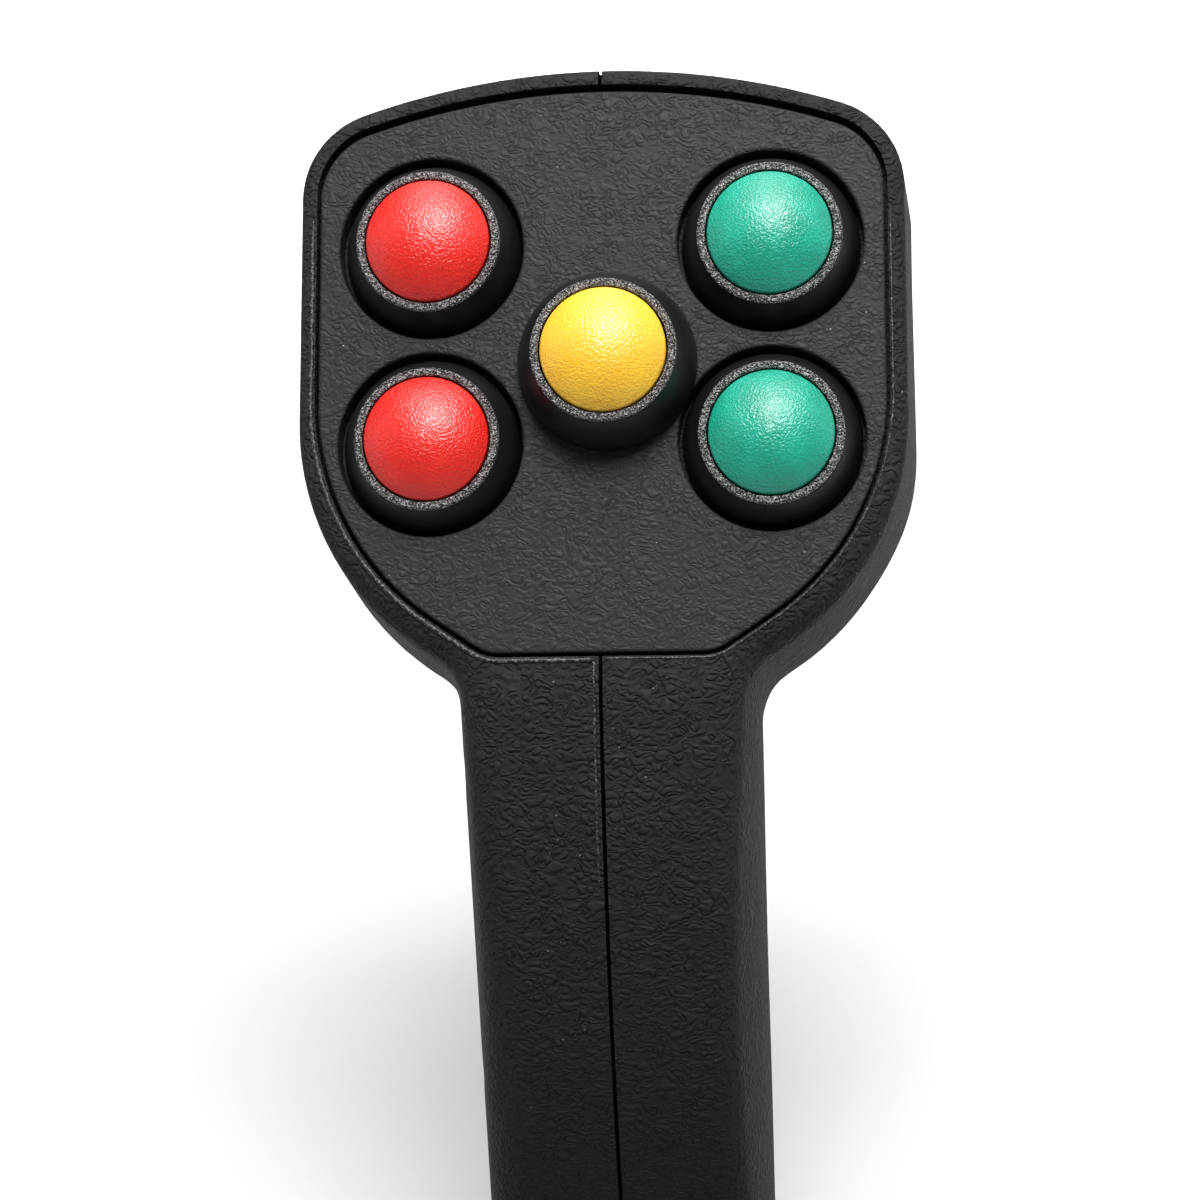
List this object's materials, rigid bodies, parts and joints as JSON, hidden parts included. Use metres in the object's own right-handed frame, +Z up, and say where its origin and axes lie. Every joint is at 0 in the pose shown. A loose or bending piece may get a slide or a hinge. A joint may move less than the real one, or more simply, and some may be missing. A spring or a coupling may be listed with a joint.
{
  "type": "push button control grip",
  "caption": "Leather-grained two-shell hand grip with a tilted face plate of domed, sprung push buttons in recessed bezels, and a clamped shaft bore in its foot.",
  "frame": {"origin": "centre of the shaft bore's mouth, in the flat foot of the handle", "axes": "+Z up the handle, out of the shaft's end; -Y the side that the face plate looks to; +X to the right seen from the face plate"},
  "size_m": [0.0758, 0.0686, 0.1605],
  "materials": {
    "shell": "leather-grained matt black",
    "face_plate": "fine leather grain, satin",
    "bezel": "smooth matt black",
    "bezel_ring": "bead blasted",
    "cap_red": "satin, finely pebbled",
    "cap_yellow": "satin, finely pebbled",
    "cap_green": "satin, finely pebbled",
    "contact_metal": "bright",
    "spring_steel": "drawn wire",
    "switch_case": "moulded",
    "fastener_steel": "zinc plated",
    "seal_rubber": "matt",
    "board": "solder mask",
    "component": "moulded",
    "connector": "moulded nylon",
    "wire": "insulated",
    "bush_metal": "turned"
  },
  "bodies": {
    "grip": {"bezel_nuts": "fastener_steel", "bezel_seals": "seal_rubber", "board_header": "connector", "board_resistors": "component", "board_screws": "fastener_steel", "circuit_board": "board", "clamp_screw": "fastener_steel", "controller_chip": "component", "face_plate": "face_plate", "green_lower_bezel": "bezel", "green_lower_ring": "bezel_ring", "green_lower_spring": "spring_steel", "green_lower_switch": "switch_case", "green_upper_bezel": "bezel", "green_upper_ring": "bezel_ring", "green_upper_spring": "spring_steel", "green_upper_switch": "switch_case", "housing_screws": "fastener_steel", "left_housing": "shell", "loom_plug": "connector", "mounting_bush": "bush_metal", "red_lower_bezel": "bezel", "red_lower_ring": "bezel_ring", "red_lower_spring": "spring_steel", "red_lower_switch": "switch_case", "red_upper_bezel": "bezel", "red_upper_ring": "bezel_ring", "red_upper_spring": "spring_steel", "red_upper_switch": "switch_case", "right_housing": "shell", "switch_terminals": "contact_metal", "wire_loom": "wire", "yellow_centre_bezel": "bezel", "yellow_centre_ring": "bezel_ring", "yellow_centre_spring": "spring_steel", "yellow_centre_switch": "switch_case"},
    "red_upper_button": {"red_upper_cap": "cap_red", "red_upper_contact": "contact_metal"},
    "red_lower_button": {"red_lower_cap": "cap_red", "red_lower_contact": "contact_metal"},
    "yellow_centre_button": {"yellow_centre_cap": "cap_yellow", "yellow_centre_contact": "contact_metal"},
    "green_upper_button": {"green_upper_cap": "cap_green", "green_upper_contact": "contact_metal"},
    "green_lower_button": {"green_lower_cap": "cap_green", "green_lower_contact": "contact_metal"}
  },
  "joints": [
    {"name": "press_red_upper", "type": "slide", "parent": "grip", "child": "red_upper_button", "axis": [0, 0.8829, -0.4695], "range_m": [0, 0.0018], "stiffness_N_per_m": 1500, "springref_m": -0.0015, "deforming": ["red_upper_spring"]},
    {"name": "press_red_lower", "type": "slide", "parent": "grip", "child": "red_lower_button", "axis": [0, 0.8829, -0.4695], "range_m": [0, 0.0018], "stiffness_N_per_m": 1500, "springref_m": -0.0015, "deforming": ["red_lower_spring"]},
    {"name": "press_yellow_centre", "type": "slide", "parent": "grip", "child": "yellow_centre_button", "axis": [0, 0.8829, -0.4695], "range_m": [0, 0.0018], "stiffness_N_per_m": 1500, "springref_m": -0.0015, "deforming": ["yellow_centre_spring"]},
    {"name": "press_green_upper", "type": "slide", "parent": "grip", "child": "green_upper_button", "axis": [0, 0.8829, -0.4695], "range_m": [0, 0.0018], "stiffness_N_per_m": 1500, "springref_m": -0.0015, "deforming": ["green_upper_spring"]},
    {"name": "press_green_lower", "type": "slide", "parent": "grip", "child": "green_lower_button", "axis": [0, 0.8829, -0.4695], "range_m": [0, 0.0018], "stiffness_N_per_m": 1500, "springref_m": -0.0015, "deforming": ["green_lower_spring"]}
  ]
}
